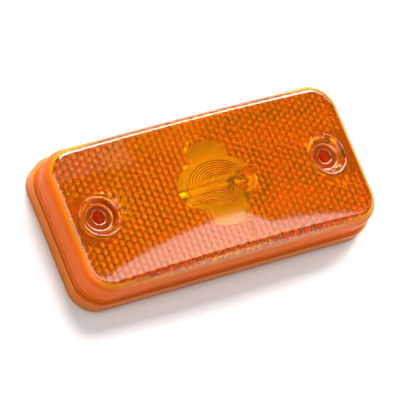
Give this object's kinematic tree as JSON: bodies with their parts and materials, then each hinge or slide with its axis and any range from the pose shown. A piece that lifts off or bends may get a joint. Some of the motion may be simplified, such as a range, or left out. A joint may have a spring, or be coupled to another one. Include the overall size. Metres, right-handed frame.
{
  "type": "side repeater lamp",
  "caption": "Amber side repeater lamp with an arched lens: reflex cells round a ringed clear window, two recessed screw holes.",
  "frame": {"origin": "centre of the flat back face", "axes": "+X along the lamp, +Y across it, +Z out of the back face through the lens"},
  "size_m": [0.115, 0.0532, 0.0192],
  "materials": {
    "amber_lens": "clear amber, polished outside, reflex cells inside",
    "amber_housing": "translucent amber, moulded",
    "black_rubber": "matt",
    "amber_rubber": "translucent amber silicone",
    "bright_tray": "white, smooth",
    "clear_glass": "clear",
    "cap_metal": "bright",
    "filament_metal": "drawn wire",
    "spring_brass": "rolled strip",
    "rivet_metal": "plated"
  },
  "bodies": {
    "root": {"lens": "amber_lens", "lens_seal": "black_rubber", "rear_housing": "amber_housing", "rear_seal": "black_rubber", "screw_seal_left": "amber_rubber", "screw_seal_right": "amber_rubber", "reflector": "bright_tray", "bulb_glass": "clear_glass", "bulb_cap_left": "cap_metal", "bulb_cap_right": "cap_metal", "bulb_filament": "filament_metal", "bulb_lead_left": "filament_metal", "bulb_lead_right": "filament_metal", "contact_left": "spring_brass", "contact_right": "spring_brass", "rivet_left": "rivet_metal", "rivet_right": "rivet_metal", "terminal_left": "spring_brass", "terminal_right": "spring_brass"}
  },
  "joints": []
}
